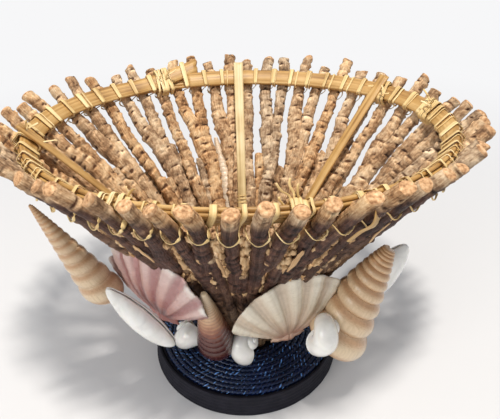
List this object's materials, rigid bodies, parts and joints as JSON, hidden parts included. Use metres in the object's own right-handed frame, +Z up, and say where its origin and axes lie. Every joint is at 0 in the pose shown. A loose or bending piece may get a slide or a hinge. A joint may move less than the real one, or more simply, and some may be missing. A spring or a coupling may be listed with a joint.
{
  "type": "fruit basket",
  "caption": "Oval fruit basket of gnarled twigs lashed to a split cane rim, on a round blue corded foot, with sea shells round its waist.",
  "frame": {"origin": "centre of the foot's underside", "axes": "+Z up, +X along the rim's long side, -Y the front that the largest shells face"},
  "size_m": [0.3103, 0.2438, 0.1785],
  "materials": {
    "foot wood": "matt",
    "grey band": "matt",
    "blue cord": "gloss",
    "split cane": "satin",
    "warm bark": "rough",
    "grey bark": "rough",
    "brown shell": "semi-gloss",
    "cream shell": "semi-gloss",
    "pale shell": "semi-gloss",
    "pink shell": "semi-gloss",
    "white shell": "semi-gloss",
    "pearl shell": "gloss"
  },
  "bodies": {
    "root": {"foot_board": "foot wood", "foot_band": "grey band", "coiled_mat": "blue cord", "hub_plug": "foot wood", "twig_01": "warm bark", "twig_02": "grey bark", "twig_03": "warm bark", "twig_04": "grey bark", "twig_05": "warm bark", "twig_06": "grey bark", "twig_07": "warm bark", "twig_08": "grey bark", "twig_09": "warm bark", "twig_10": "grey bark", "twig_11": "warm bark", "twig_12": "grey bark", "twig_13": "warm bark", "twig_14": "grey bark", "twig_15": "warm bark", "twig_16": "grey bark", "twig_17": "warm bark", "twig_18": "grey bark", "twig_19": "warm bark", "twig_20": "grey bark", "twig_21": "warm bark", "twig_22": "grey bark", "twig_23": "warm bark", "twig_24": "grey bark", "twig_25": "warm bark", "twig_26": "grey bark", "twig_27": "warm bark", "twig_28": "grey bark", "twig_29": "warm bark", "twig_30": "grey bark", "twig_31": "warm bark", "twig_32": "grey bark", "inner_hoop": "split cane", "reed_band": "split cane", "lashing_left": "split cane", "lashing_back": "split cane", "lashing_right": "split cane", "splint_left": "split cane", "splint_back": "split cane", "splint_right": "split cane", "spire_front": "brown shell", "spire_right": "cream shell", "spire_left": "cream shell", "spire_back": "pale shell", "scallop_pink": "pink shell", "scallop_white": "white shell", "scallop_back_right": "white shell", "scallop_back_left": "pink shell", "moon_snail_1": "pearl shell", "moon_snail_2": "pearl shell", "moon_snail_3": "pearl shell", "moon_snail_4": "pearl shell", "moon_snail_5": "pearl shell", "moon_snail_6": "pearl shell", "clam_left": "pearl shell", "clam_right": "pearl shell"}
  },
  "joints": []
}
